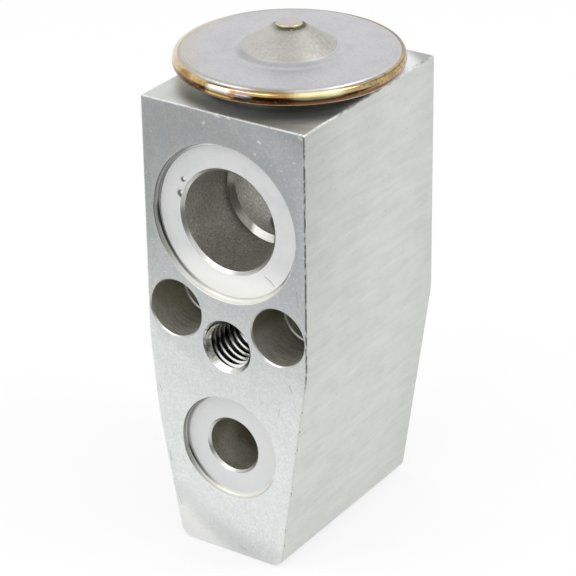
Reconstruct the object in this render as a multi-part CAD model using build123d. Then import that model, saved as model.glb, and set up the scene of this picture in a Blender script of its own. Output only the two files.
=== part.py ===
from build123d import *
import math
import os

# Block-type refrigerant expansion valve, in millimetres.
# The origin is the centre of the block's bottom face. +Z points up to the power head,
# and -Y is the front, the face with the threaded hole, where the refrigerant lines are clamped.

# Block: an extruded profile, straight above the crease and tapered below it
block_width = 28.0
block_depth = 35.0
block_height = 72.0
crease_z = 34.0
base_width = 18.0
base_corner_r = 2.0
crease_r = 15.0
top_corner_r = 0.4
edge_break = 0.2

# Suction passage, straight through the block from back to front
suction_z = 54.9
suction_port_r = 7.8
suction_port_depth = 12.2
suction_step_length = 0.9
suction_core_r = 6.9
suction_seat_r = 12.35
suction_seat_depth = 1.0
suction_chamfer = 0.5

# Liquid ports: the inlet on the front, the outlet on the back
inlet_z = 18.1
inlet_port_r = 4.2
inlet_core_r = 3.0
inlet_web = 1.0
outlet_z = 28.2
outlet_port_r = 4.9
outlet_port_depth = 10.0
outlet_core_r = 2.5
liquid_seat_r = 8.4
liquid_seat_depth = 1.0
seat_corner = 0.6
liquid_chamfer = 0.4

# Two through holes for the bolts that clamp the valve to the evaporator
bolt_hole_x = 9.0
bolt_hole_z = 39.1
bolt_head_r = 4.5
bolt_head_depth = 8.3
bolt_shank_r = 4.25
bolt_chamfer = 0.2

# Threaded hole for the bolt that clamps the refrigerant lines
clamp_thread_z = 35.1
clamp_thread_r = 4.0
clamp_thread_depth = 10.0
clamp_tap_drill_r = 3.4
clamp_tap_drill_depth = 11.5
clamp_chamfer = 0.25
drill_point_angle = 118.0

# Bores on the block's vertical axis, from the power head down to the base
head_thread_r = 8.7
head_bore_depth = 7.4
head_seal_chamfer = 2.2
gas_bore_r = 5.0
seal_pocket_r = 3.2
seal_pocket_z = 43.6
rod_guide_depth = 3.1
orifice_r = 1.75
orifice_length = 1.7
seat_edge_z = 24.0
seat_mouth_r = 2.75
chamber_r = 5.2
screw_shoulder_z = 8.8
screw_thread_r = 5.7

# Power head: two pressed covers with a diaphragm between them, welded round the rim
head_r = 17.0
head_gap = 2.1
weld_width = 0.7
weld_bulge = 0.15
weld_flat = 0.24
weld_shoulder = 0.28
cover_sheet = 0.8
diaphragm_sheet = 0.15
rim_flat = 0.45
pan_rise = 0.25
cone_foot_r = 8.1
cone_foot_width = 0.6
cone_foot_rise = 0.2
cone_top_r = 2.2
cone_height = 3.8
plug_head_r = 1.9
plug_head_height = 0.35
plug_shank_r = 1.2
plug_shank_length = 1.6
plug_chamfer = 0.12
wave_start_r = 10.6
wave_width = 1.8
wave_flank = 0.5
wave_height = 0.14

# Lower cover, and the threaded neck that screws into the block
neck_flange_r = 12.0
neck_flange_height = 1.0
neck_end_gap = 0.4
neck_bore_r = 6.2
neck_chamfer = 0.4
cover_hole_r = 10.2
cover_dish_r = 12.6
cover_rim_r = 13.8
head_seal_wire_r = 0.6

# Moving stem: stop plate, sensing rod, push rod, ball and ball carrier
stem_travel = 0.8
stop_gap = 0.05
stop_plate_r = 9.6
stop_boss_r = 4.2
stop_boss_length = 3.4
stop_socket_depth = 2.6
sensing_rod_r = 2.0
sensing_rod_tip_gap = 1.1
sensing_rod_chamfer = 0.3
push_rod_r = 1.2
push_rod_socket = 2.5
ball_r = 2.5
ball_seat_gap = 0.03
carrier_cup_r = 3.1
carrier_cup_wall = 0.5
carrier_flange_r = 4.4
carrier_flange_height = 0.9
carrier_stem_r = 2.3
carrier_stem_length = 2.6
carrier_chamfer = 0.4

# Seal round the sensing rod, in a pocket under the suction passage
rod_washer_height = 0.5
rod_seal_wire_r = 0.55
retainer_height = 0.7
retainer_hole_r = 2.3
retainer_slot_count = 6
retainer_slot_width = 0.5
retainer_slot_length = 0.45

# Damping ring on the ball carrier, with bent legs that rub on the chamber's wall
damper_sheet = 0.2
damper_leg_count = 4
damper_leg_width = 1.4
damper_leg_length = 2.0
damper_bend_r = 4.75

# Superheat spring and the screw that sets its load
spring_wire_r = 0.4
spring_coil_r = 3.3
spring_turns = 3.5
screw_recess = 0.9
screw_thread_length = 7.1
screw_nose_r = 5.15
screw_nose_length = 3.6
screw_groove_offset = 1.3
screw_groove_height = 1.4
screw_groove_r = 3.95
screw_pin_r = 2.3
screw_pin_length = 0.8
screw_chamfer = 0.5
hex_across_flats = 5.0
hex_depth = 5.0

# Clearances between pieces
running_fit = 0.05
static_fit = 0.02
seal_fit = 0.04

# Sides of the round wires and O-rings in section
wire_sides = 8

# Heights that follow from the sizes above
front_y = -block_depth / 2
back_y = block_depth / 2
inlet_port_depth = block_depth / 2 - chamber_r - inlet_web
head_bore_z = block_height - head_bore_depth
rod_guide_z = seal_pocket_z - rod_guide_depth
chamber_top_z = seat_edge_z - (seat_mouth_r - orifice_r)

cover_edge_r = head_r - weld_width
pan_r = cover_edge_r - rim_flat
rim_height = 2 * cover_sheet + diaphragm_sheet
diaphragm_z = block_height + head_gap + cover_sheet + diaphragm_sheet / 2
diaphragm_top_z = diaphragm_z + diaphragm_sheet / 2
diaphragm_low_z = diaphragm_z - diaphragm_sheet / 2
flange_top_z = diaphragm_top_z + cover_sheet
pan_top_z = flange_top_z + pan_rise
cone_top_z = pan_top_z + cone_height
neck_top_z = block_height + neck_flange_height

stop_low_z = neck_top_z + stem_travel + stop_gap
stop_top_z = diaphragm_low_z - static_fit
boss_low_z = stop_low_z - stop_boss_length
rod_top_z = boss_low_z + stop_socket_depth
rod_tip_z = rod_guide_z + sensing_rod_tip_gap
push_rod_top_z = rod_tip_z + push_rod_socket

# A ball or rod that rests in a 90 degree cone lies its radius times this from the cone's point
cone_reach = math.sqrt(2)
ball_z = seat_edge_z + orifice_r - (ball_r + ball_seat_gap) * cone_reach
carrier_apex_z = ball_z - (ball_r + static_fit) * cone_reach
carrier_top_z = carrier_apex_z + carrier_cup_r - carrier_cup_wall
carrier_low_z = carrier_apex_z - carrier_flange_height

screw_thread_top_z = screw_recess + screw_thread_length
screw_nose_z = screw_thread_top_z + screw_nose_length
screw_groove_z = screw_thread_top_z + screw_groove_offset


def turned(points):
    """A solid of revolution about the Z axis, from its (radius, height) outline."""
    outline = Polyline([(r, 0, z) for r, z in points], close=True)
    return revolve(make_face(outline), Axis.Z)


def pressed(points, sheet):
    """A pressed sheet part, from the line of its upper surface, rim first, and its thickness."""
    surface = Polyline(points)
    outline = offset(surface, amount=sheet, side=Side.LEFT, closed=True, kind=Kind.INTERSECTION)
    return revolve(Rot(90, 0, 0) * make_face(outline), Axis.Z)


def seal_ring(centre_r, wire_r, z):
    """An O-ring about the Z axis, with a many-sided section."""
    section = Pos(centre_r, 0, z) * Rot(90, 0, 0) * RegularPolygon(wire_r, wire_sides)
    return revolve(section, Axis.Z)


def bar(radius, low_z, high_z):
    """A round bar or bore on the Z axis between two heights."""
    return Pos(0, 0, (low_z + high_z) / 2) * Cylinder(radius, high_z - low_z)


def sleeve(outer_r, inner_r, low_z, high_z):
    """A plain ring on the Z axis between two heights."""
    return bar(outer_r, low_z, high_z) - bar(inner_r, low_z, high_z)


def chamfered_bar(radius, low_z, high_z, bevel):
    """A round bar on the Z axis with both ends chamfered."""
    return turned([
        (0, low_z),
        (radius - bevel, low_z),
        (radius, low_z + bevel),
        (radius, high_z - bevel),
        (radius - bevel, high_z),
        (0, high_z),
    ])


def into_front(tool, x, z):
    """Turn a tool that points along +Z so that it goes into the front face."""
    return Pos(x, front_y, z) * Rot(-90, 0, 0) * tool


def into_back(tool, x, z):
    """Turn a tool that points along +Z so that it goes into the back face."""
    return Pos(x, back_y, z) * Rot(90, 0, 0) * tool


def drill_step(wide_r, narrow_r=0.0):
    """Length of the cone that a drill leaves between two radii, or at the end of a hole."""
    return (wide_r - narrow_r) / math.tan(math.radians(drill_point_angle / 2))


def port_tool(seat_r, seat_depth, bore_r, bevel, bore_depth, step_length, core_r, core_depth):
    """A recessed sealing seat with a sloped corner, a chamfered bore, and a drilled core beyond."""
    return turned([
        (0, -edge_break),
        (seat_r, -edge_break),
        (seat_r, seat_depth - seat_corner),
        (seat_r - seat_corner, seat_depth),
        (bore_r + bevel, seat_depth),
        (bore_r, seat_depth + bevel),
        (bore_r, bore_depth),
        (core_r, bore_depth + step_length),
        (core_r, core_depth),
        (0, core_depth),
    ])


def block_profile():
    """The block's outline, seen from the front, with its rounded corners."""
    half_base = base_width / 2
    half_width = block_width / 2
    outline = FilletPolyline(
        (-half_base, 0, 0),
        (half_base, 0, 0),
        (half_width, 0, crease_z),
        (half_width, 0, block_height),
        (-half_width, 0, block_height),
        (-half_width, 0, crease_z),
        radius=[base_corner_r, base_corner_r, crease_r, top_corner_r, top_corner_r, crease_r],
        close=True,
    )
    return make_face(outline)


def blank_block():
    """The extruded bar, cut to length, with the edges of its two cut faces broken."""
    blank = extrude(block_profile(), amount=block_depth / 2, dir=(0, 1, 0), both=True)
    cut_faces = blank.faces().sort_by(Axis.Y)
    rims = cut_faces[0].edges() + cut_faces[-1].edges()
    return chamfer(rims, edge_break)


def passage_tools():
    """The suction passage, bored from both faces, and the two liquid ports."""
    middle = block_depth / 2
    suction = port_tool(
        suction_seat_r, suction_seat_depth, suction_port_r, suction_chamfer,
        suction_port_depth, suction_step_length, suction_core_r, middle + edge_break,
    )
    inlet = port_tool(
        liquid_seat_r, liquid_seat_depth, inlet_port_r, liquid_chamfer,
        inlet_port_depth, drill_step(inlet_port_r, inlet_core_r), inlet_core_r, middle,
    )
    outlet = port_tool(
        liquid_seat_r, liquid_seat_depth, outlet_port_r, liquid_chamfer,
        outlet_port_depth, drill_step(outlet_port_r, outlet_core_r), outlet_core_r, middle + outlet_core_r,
    )
    return [
        into_front(suction, 0, suction_z),
        into_back(suction, 0, suction_z),
        into_front(inlet, 0, inlet_z),
        into_back(outlet, 0, outlet_z),
    ]


def bolt_tools():
    """The two stepped through holes, and the blind threaded hole between them."""
    through = turned([
        (0, -edge_break),
        (bolt_head_r + bolt_chamfer + edge_break, -edge_break),
        (bolt_head_r, bolt_chamfer),
        (bolt_head_r, bolt_head_depth),
        (bolt_shank_r, bolt_head_depth + drill_step(bolt_head_r, bolt_shank_r)),
        (bolt_shank_r, block_depth - bolt_chamfer),
        (bolt_shank_r + bolt_chamfer + edge_break, block_depth + edge_break),
        (0, block_depth + edge_break),
    ])
    threaded = turned([
        (0, -edge_break),
        (clamp_thread_r + clamp_chamfer + edge_break, -edge_break),
        (clamp_thread_r, clamp_chamfer),
        (clamp_thread_r, clamp_thread_depth),
        (clamp_tap_drill_r, clamp_thread_depth),
        (clamp_tap_drill_r, clamp_tap_drill_depth),
        (0, clamp_tap_drill_depth + drill_step(clamp_tap_drill_r)),
    ])
    return [
        into_front(through, -bolt_hole_x, bolt_hole_z),
        into_front(through, bolt_hole_x, bolt_hole_z),
        into_front(threaded, 0, clamp_thread_z),
    ]


def axis_tools():
    """The bores on the vertical axis, made from the top and from the base."""
    head_bore_r = head_thread_r + static_fit
    head_bore = turned([
        (0, head_bore_z),
        (head_bore_r, head_bore_z),
        (head_bore_r, block_height - head_seal_chamfer),
        (head_bore_r + head_seal_chamfer, block_height),
        (head_bore_r + head_seal_chamfer, block_height + edge_break),
        (0, block_height + edge_break),
    ])
    screw_bore_r = screw_thread_r + running_fit
    chamber = turned([
        (0, -edge_break),
        (screw_bore_r + screw_chamfer + edge_break, -edge_break),
        (screw_bore_r, screw_chamfer),
        (screw_bore_r, screw_shoulder_z),
        (chamber_r, screw_shoulder_z),
        (chamber_r, chamber_top_z),
        (seat_mouth_r, chamber_top_z),
        (orifice_r, seat_edge_z),
        (orifice_r, seat_edge_z + orifice_length),
        (0, seat_edge_z + orifice_length),
    ])
    return [
        head_bore,
        bar(gas_bore_r, suction_z, head_bore_z),
        bar(seal_pocket_r, seal_pocket_z, suction_z),
        bar(sensing_rod_r + running_fit, rod_guide_z, seal_pocket_z),
        bar(push_rod_r + running_fit, outlet_z, rod_guide_z),
        bar(outlet_core_r, seat_edge_z + orifice_length, outlet_z),
        chamber,
    ]


def valve_body():
    """The aluminium block with every port, passage and bore cut into it."""
    block = blank_block()
    for tool in passage_tools() + bolt_tools() + axis_tools():
        block -= tool
    return block


def upper_cover():
    """Pressed cover: flat rim, slightly raised pan, and a hollow cone for the charge plug."""
    surface = [
        (cover_edge_r, flange_top_z),
        (pan_r + pan_rise, flange_top_z),
        (pan_r, pan_top_z),
        (cone_foot_r, pan_top_z),
        (cone_foot_r - cone_foot_width, pan_top_z + cone_foot_rise),
        (cone_top_r, cone_top_z),
        (plug_shank_r + static_fit, cone_top_z),
    ]
    return pressed(surface, cover_sheet)


def charge_plug():
    """Plug that closes the filling hole in the cone after the head is charged."""
    top = cone_top_z + plug_head_height
    return turned([
        (0, cone_top_z - plug_shank_length),
        (plug_shank_r, cone_top_z - plug_shank_length),
        (plug_shank_r, cone_top_z),
        (plug_head_r, cone_top_z),
        (plug_head_r, top - plug_chamfer),
        (plug_head_r - plug_chamfer, top),
        (0, top),
    ])


def rim_weld():
    """The weld bead that joins the covers and the diaphragm round the rim."""
    half = rim_height / 2 + weld_bulge
    shoulder_r = head_r - weld_shoulder
    return turned([
        (cover_edge_r, diaphragm_z - half),
        (shoulder_r, diaphragm_z - half + weld_shoulder),
        (head_r, diaphragm_z - weld_flat),
        (head_r, diaphragm_z + weld_flat),
        (shoulder_r, diaphragm_z + half - weld_shoulder),
        (cover_edge_r, diaphragm_z + half),
    ])


def diaphragm():
    """Thin steel disc with a raised ring, clamped between the covers at its rim."""
    wave_end_r = wave_start_r + wave_width
    surface = [
        (cover_edge_r, diaphragm_top_z),
        (wave_end_r, diaphragm_top_z),
        (wave_end_r - wave_flank, diaphragm_top_z + wave_height),
        (wave_start_r + wave_flank, diaphragm_top_z + wave_height),
        (wave_start_r, diaphragm_top_z),
    ]
    under = [(r, z - diaphragm_sheet) for r, z in reversed(surface)]
    centre = [(0, diaphragm_top_z), (0, diaphragm_low_z)]
    return turned(surface + centre + under)


def lower_cover():
    """Pressed dish between the rim and the neck's flange."""
    surface = [
        (cover_edge_r, diaphragm_low_z),
        (cover_rim_r, diaphragm_low_z),
        (cover_dish_r, neck_top_z + cover_sheet),
        (cover_hole_r, neck_top_z + cover_sheet),
    ]
    return pressed(surface, cover_sheet)


def threaded_neck():
    """Turned neck: a flange on top of the block and a threaded end in its bore."""
    low = head_bore_z + neck_end_gap
    return turned([
        (neck_bore_r, low),
        (head_thread_r - neck_chamfer, low),
        (head_thread_r, low + neck_chamfer),
        (head_thread_r, block_height),
        (neck_flange_r, block_height),
        (neck_flange_r, neck_top_z),
        (neck_bore_r, neck_top_z),
    ])


def head_seal():
    """O-ring in the chamfered mouth of the block's top bore."""
    reach = head_seal_wire_r + seal_fit
    return seal_ring(head_thread_r + reach, head_seal_wire_r, block_height - reach)


def stop_plate():
    """Disc that the diaphragm pushes on, with a socket for the sensing rod."""
    return turned([
        (0, rod_top_z),
        (sensing_rod_r + static_fit, rod_top_z),
        (sensing_rod_r + static_fit, boss_low_z),
        (stop_boss_r, boss_low_z),
        (stop_boss_r, stop_low_z),
        (stop_plate_r, stop_low_z),
        (stop_plate_r, stop_top_z),
        (0, stop_top_z),
    ])


def sensing_rod():
    """Aluminium rod across the suction passage, with a socket for the push rod."""
    solid = chamfered_bar(sensing_rod_r, rod_tip_z, rod_top_z, sensing_rod_chamfer)
    return solid - bar(push_rod_r + static_fit, rod_tip_z, push_rod_top_z)


def push_rod():
    """Thin steel rod from the sensing rod, through the orifice, to the ball."""
    return bar(push_rod_r, ball_z + ball_r + static_fit, push_rod_top_z)


def seal_washer():
    """Washer on the floor of the seal pocket."""
    inner_r = sensing_rod_r + running_fit
    return sleeve(seal_pocket_r - static_fit, inner_r, seal_pocket_z, seal_pocket_z + rod_washer_height)


def rod_seal():
    """O-ring round the sensing rod."""
    centre_r = (sensing_rod_r + seal_pocket_r) / 2
    z = seal_pocket_z + rod_washer_height + rod_seal_wire_r + static_fit
    return seal_ring(centre_r, rod_seal_wire_r, z)


def seal_retainer():
    """Slotted push-in ring that keeps the rod's O-ring in its pocket."""
    low = seal_pocket_z + rod_washer_height + 2 * (rod_seal_wire_r + static_fit)
    ring = sleeve(seal_pocket_r - static_fit, retainer_hole_r, low, low + retainer_height)
    slot = Box(2 * retainer_slot_length, retainer_slot_width, 2 * retainer_height)
    slot = Pos(retainer_hole_r, 0, low + retainer_height / 2) * slot
    for index in range(retainer_slot_count):
        ring -= Rot(0, 0, index * 360 / retainer_slot_count) * slot
    return ring


def valve_ball():
    """Steel ball that closes the orifice from below."""
    return Pos(0, 0, ball_z) * Sphere(ball_r)


def ball_carrier():
    """Turned carrier: a cone that holds the ball, a flange on the spring and a guide stem."""
    cup_mouth_r = carrier_top_z - carrier_apex_z
    stem_low_z = carrier_low_z - carrier_stem_length
    return turned([
        (0, carrier_apex_z),
        (cup_mouth_r, carrier_top_z),
        (carrier_cup_r, carrier_top_z),
        (carrier_cup_r, carrier_apex_z),
        (carrier_flange_r, carrier_apex_z),
        (carrier_flange_r, carrier_low_z),
        (carrier_stem_r, carrier_low_z),
        (carrier_stem_r, stem_low_z + carrier_chamfer),
        (carrier_stem_r - carrier_chamfer, stem_low_z),
        (0, stem_low_z),
    ])


def damping_spring():
    """Sheet ring on the carrier's flange, with legs bent down beside the chamber's wall."""
    top = carrier_apex_z + damper_sheet
    ring = sleeve(damper_bend_r, carrier_cup_r + static_fit, carrier_apex_z, top)
    half = damper_leg_width / 2
    toe_r = math.sqrt((chamber_r - running_fit) ** 2 - half ** 2)
    toe_z = top - damper_leg_length
    inner_r = damper_bend_r - damper_sheet
    outline = Polyline(
        [
            (inner_r, 0, top),
            (damper_bend_r, 0, top),
            (toe_r, 0, toe_z),
            (toe_r - damper_sheet, 0, toe_z),
            (inner_r, 0, carrier_apex_z),
        ],
        close=True,
    )
    leg = extrude(make_face(outline), amount=half, dir=(0, 1, 0), both=True)
    for index in range(damper_leg_count):
        ring += Rot(0, 0, (index + 0.5) * 360 / damper_leg_count) * leg
    return ring


def superheat_spring():
    """Coil spring between the adjusting screw and the ball carrier."""
    low = screw_nose_z + spring_wire_r + running_fit
    high = carrier_low_z - spring_wire_r - running_fit
    height = high - low
    coil = Helix(pitch=height / spring_turns, height=height, radius=spring_coil_r, center=(0, 0, low))
    wire = Plane(origin=coil @ 0, z_dir=coil % 0) * RegularPolygon(spring_wire_r, wire_sides)
    return sweep(wire, path=coil, is_frenet=True)


def adjusting_screw():
    """Screw in the base: threaded body, grooved nose, spring pin and hexagon socket."""
    groove_top_z = screw_groove_z + screw_groove_height
    pin_top_z = screw_nose_z + screw_pin_length
    shape = turned([
        (0, screw_recess),
        (screw_thread_r - screw_chamfer, screw_recess),
        (screw_thread_r, screw_recess + screw_chamfer),
        (screw_thread_r, screw_thread_top_z),
        (screw_nose_r, screw_thread_top_z),
        (screw_nose_r, screw_groove_z),
        (screw_groove_r, screw_groove_z),
        (screw_groove_r, groove_top_z),
        (screw_nose_r, groove_top_z),
        (screw_nose_r, screw_nose_z),
        (screw_pin_r, screw_nose_z),
        (screw_pin_r, pin_top_z),
        (0, pin_top_z),
    ])
    hexagon = RegularPolygon(hex_across_flats / 2, 6, major_radius=False)
    return shape - Pos(0, 0, screw_recess) * extrude(hexagon, amount=hex_depth)


def screw_seal():
    """O-ring in the adjusting screw's groove."""
    centre_r = (screw_groove_r + chamber_r) / 2
    wire_r = (chamber_r - screw_groove_r) / 2 - seal_fit
    return seal_ring(centre_r, wire_r, screw_groove_z + screw_groove_height / 2)


pieces = [
    valve_body, upper_cover, charge_plug, rim_weld, diaphragm, lower_cover, threaded_neck, head_seal,
    stop_plate, sensing_rod, rod_seal, seal_washer, seal_retainer, push_rod, valve_ball, ball_carrier,
    damping_spring, superheat_spring, adjusting_screw, screw_seal,
]

os.makedirs("parts", exist_ok=True)
for piece in pieces:
    export_step(piece(), f"parts/{piece.__name__}.step")
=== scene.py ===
import math
import bmesh
import bpy
from mathutils import Matrix, Vector


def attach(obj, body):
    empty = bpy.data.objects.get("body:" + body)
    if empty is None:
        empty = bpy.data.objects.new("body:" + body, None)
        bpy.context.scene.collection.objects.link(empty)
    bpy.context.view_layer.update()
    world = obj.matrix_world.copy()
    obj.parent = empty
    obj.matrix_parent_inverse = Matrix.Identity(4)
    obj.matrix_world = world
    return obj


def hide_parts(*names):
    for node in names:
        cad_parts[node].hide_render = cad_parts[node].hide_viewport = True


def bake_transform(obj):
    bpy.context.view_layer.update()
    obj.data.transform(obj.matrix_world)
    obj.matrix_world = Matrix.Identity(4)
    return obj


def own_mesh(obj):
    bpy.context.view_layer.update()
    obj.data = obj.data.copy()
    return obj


# Block-type refrigerant expansion valve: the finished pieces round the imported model.
# Outlines are in millimetres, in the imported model's frame: +Z up, -Y the front.
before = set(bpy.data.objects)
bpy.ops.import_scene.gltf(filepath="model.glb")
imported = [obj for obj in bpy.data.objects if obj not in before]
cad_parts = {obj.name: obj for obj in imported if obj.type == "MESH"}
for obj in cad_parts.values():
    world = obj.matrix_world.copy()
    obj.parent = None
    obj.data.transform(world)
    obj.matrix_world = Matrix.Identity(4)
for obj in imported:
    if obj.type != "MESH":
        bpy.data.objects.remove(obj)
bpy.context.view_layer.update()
bpy.ops.object.select_all(action="DESELECT")

MM = 0.001
FULL_TURN = 2 * math.pi
WELD_DISTANCE = 0.002
SMOOTH_ANGLE = math.radians(30)
UP, TO_BACK, TO_FRONT = (0, 0, 1), (0, 1, 0), (0, -1, 0)
TO_END = 99  # how far a turned piece's last finish reaches along it
SCREEN_TOE, SCREEN_POWER = 0.055, 2.4  # of the curve between screen colours and light
RING_PERIOD = 0.314  # of the wave texture's rings at a scale of 1
CUT_OVER = 0.5  # how far a cutter stands out of the block

# Heights and places that several pieces share
block_half_width, block_half_depth, block_height = 14.0, 17.5, 72.0
front, back = -block_half_depth, block_half_depth
crease_z, base_half_width = 34.0, 9.0
seat_depth, suction_seat_r, liquid_seat_r = 1.0, 12.35, 8.4
suction_z, inlet_z, outlet_z = 54.9, 18.1, 28.2
bolt_x, bolt_z, bolt_r = 9.0, 39.1, 4.5
clamp_z, thread_crest_r, thread_root_r = 35.1, 3.32, 4.0
cone_foot_r = 7.25
coil_foot, coil_middle, coil_top, valve_lift = 11.65, 14.65, 17.65, 0.8


# Camera


def place_camera():
    """The photograph's view: its angle, distance, lens and framing."""
    azimuth, elevation, roll = math.radians(33.786), math.radians(26.625), math.radians(-0.729)
    outward = Vector((
        math.sin(azimuth) * math.cos(elevation),
        -math.cos(azimuth) * math.cos(elevation),
        math.sin(elevation),
    ))
    level = Vector((math.cos(azimuth), math.sin(azimuth), 0))
    upright = outward.cross(level)
    right = math.cos(roll) * level + math.sin(roll) * upright
    up = -math.sin(roll) * level + math.cos(roll) * upright
    bpy.ops.object.camera_add()
    camera = bpy.context.object
    camera.name = "photo_camera"
    place = (-0.074 * right + 34.056 * up + 419.18 * outward) * MM
    camera.matrix_world = Matrix((
        *((right[row], up[row], outward[row], place[row]) for row in range(3)), (0, 0, 0, 1),
    ))
    camera.data.sensor_width = 36.0
    camera.data.lens = 166.95
    camera.data.shift_x = -0.01179
    camera.data.shift_y = -0.00744
    camera.data.clip_start = 0.01
    camera.data.clip_end = 20.0
    bpy.context.scene.camera = camera


place_camera()


# Finishes. Colours are as they look on a screen, 0 to 255, and lengths are in millimetres.


def paint(colour):
    """A screen colour as the light that Blender works in."""
    return tuple(((c / 255 + SCREEN_TOE) / (1 + SCREEN_TOE)) ** SCREEN_POWER for c in colour)


def dimmed(colour, share):
    """A screen colour with a share of its light."""
    toe = 255 * SCREEN_TOE
    return tuple((c + toe) * share ** (1 / SCREEN_POWER) - toe for c in colour)


def tree_of(owner):
    """The node tree of a finish, or the one that a socket is in."""
    return owner.id_data if isinstance(owner, bpy.types.NodeSocket) else owner.node_tree


def node(owner, kind, inputs=None, **settings):
    """Add a node to a tree, with its settings, and its inputs set or linked."""
    tree = tree_of(owner)
    made = tree.nodes.new("ShaderNode" + kind)
    for key, value in settings.items():
        setattr(made, key, value)
    for key, value in (inputs or {}).items():
        if isinstance(value, bpy.types.NodeSocket):
            tree.links.new(value, made.inputs[key])
        else:
            made.inputs[key].default_value = value
    return made


def shader_of(owner):
    return tree_of(owner).nodes["Principled BSDF"]


def metal(name, colour, roughness, metallic=1.0):
    """A bare metal, even all over."""
    finish = bpy.data.materials.new(name)
    finish.use_nodes = True
    inputs = shader_of(finish).inputs
    inputs["Base Color"].default_value = (*paint(colour), 1)
    inputs["Metallic"].default_value = metallic
    inputs["Roughness"].default_value = roughness
    return finish


def where(finish, centre=(0, 0, 0), stretch=(1, 1, 1)):
    """Object coordinates from a centre, stretched along the axes."""
    return node(finish, "Mapping", {
        "Vector": node(finish, "TexCoord").outputs["Object"],
        "Location": [-c * s for c, s in zip(centre, stretch)],
        "Scale": [s / MM for s in stretch],
    }).outputs["Vector"]


def cloud(finish, size, detail=3.0, stretch=(1, 1, 1), centre=(0, 0, 0)):
    """Soft random patches of about that size."""
    place = where(finish, centre, stretch)
    made = node(finish, "TexNoise", {"Vector": place, "Scale": 1 / size, "Detail": detail})
    return made.outputs["Fac"]


def rings(finish, centre, pitch, axis):
    """Tool marks in rings about an axis, wandering a little."""
    made = node(finish, "TexWave", {
        "Vector": where(finish, centre), "Scale": RING_PERIOD / pitch, "Distortion": 0.4,
        "Detail": 2.0, "Detail Scale": 0.6,
    }, wave_type="RINGS", rings_direction=axis)
    return made.outputs["Fac"]


def along(finish, axis):
    """How far a point lies along an axis."""
    return node(finish, "SeparateXYZ", {"Vector": where(finish)}).outputs[axis]


def slant(finish, centre, direction):
    """How far a point lies from a centre along a direction."""
    return node(
        finish, "VectorMath", {0: where(finish, centre), 1: direction}, operation="DOT_PRODUCT"
    ).outputs["Value"]


def reach_from(finish, centre, counted=(1, 1, 1)):
    """Distance from a centre, with only the counted axes."""
    place = where(finish, centre, counted)
    return node(finish, "VectorMath", {"Vector": place}, operation="LENGTH").outputs["Value"]


def from_axis(finish):
    """Distance from the upright axis."""
    return reach_from(finish, (0, 0, 0), (1, 1, 0))


def bearing(finish):
    """Degrees round the upright axis: 0 at the front, 90 at the right and -90 at the left."""
    place = node(finish, "SeparateXYZ", {"Vector": where(finish, stretch=(1, -1, 1))}).outputs
    turn = node(finish, "Math", {0: place["X"], 1: place["Y"]}, operation="ARCTAN2").outputs[0]
    return both(turn, 180 / math.pi)


def combined(operation, result, *others):
    """A socket put through a Math operation with other sockets or numbers, one by one."""
    for other in others:
        result = node(result, "Math", {0: result, 1: other}, operation=operation).outputs[0]
    return result


def both(*masks):
    """Masks multiplied, or scaled by a number."""
    return combined("MULTIPLY", *masks)


def plus(*values):
    """Values added up."""
    return combined("ADD", *values)


def band(value, low, high):
    """0 below low and 1 above high, or the other way round when high is the lower."""
    ends = (0.0, 1.0) if low < high else (1.0, 0.0)
    return node(value, "MapRange", {
        "Value": value, "From Min": min(low, high), "From Max": max(low, high),
        "To Min": ends[0], "To Max": ends[1],
    }, clamp=True).outputs["Result"]


def between(value, low, high, soft):
    """1 between two values and 0 outside them, with soft ends."""
    return both(band(value, low - soft, low + soft), band(value, high + soft, high - soft))


def spot(finish, centre, radius):
    """1 within a radius of a point and 0 outside it, with a soft edge."""
    return band(reach_from(finish, centre), radius, radius * 0.6)


def streak(finish, start, end, width):
    """1 on a short line between two points and 0 away from it."""
    run = Vector(end) - Vector(start)
    direction, place = run.normalized(), where(finish, start)
    reach = slant(finish, start, direction)
    held = node(finish, "Clamp", {"Value": reach, "Min": 0.0, "Max": run.length}).outputs[0]
    nearest = node(
        finish, "VectorMath", {0: direction, "Scale": held}, operation="SCALE"
    ).outputs["Vector"]
    off = node(finish, "VectorMath", {0: place, 1: nearest}, operation="DISTANCE").outputs["Value"]
    return band(off, width, width * 0.4)


def stain(mask, colour, strength=1.0):
    """Lay another colour over a finish where the mask is high."""
    if strength < 1.0:
        mask = both(mask, strength)
    base = shader_of(mask).inputs["Base Color"]
    under = base.links[0].from_socket if base.is_linked else base.default_value[:]
    made = node(mask, "Mix", {0: mask, 6: under, 7: (*paint(colour), 1)}, data_type="RGBA")
    tree_of(mask).links.new(made.outputs[2], base)


def scratch(finish, y, lines, colour, strength=1.0):
    """Stain short lines on a plane that faces the front, each from x, z to x, z, with a width."""
    for x, z, to_x, to_z, width in lines:
        stain(streak(finish, (x, y, z), (to_x, y, to_z), width), colour, strength)


def roughen(mask, low, high):
    """Let the roughness follow a mask."""
    made = node(mask, "MapRange", {"Value": mask, "To Min": low, "To Max": high}, clamp=True)
    tree_of(mask).links.new(made.outputs["Result"], shader_of(mask).inputs["Roughness"])


def emboss(pattern, depth):
    """Raise the surface by a pattern."""
    normal = shader_of(pattern).inputs["Normal"]
    made = node(pattern, "Bump", {"Height": pattern, "Distance": depth * MM, "Strength": 1.0})
    if normal.is_linked:
        tree_of(pattern).links.new(normal.links[0].from_socket, made.inputs["Normal"])
    tree_of(pattern).links.new(made.outputs["Normal"], normal)


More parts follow.
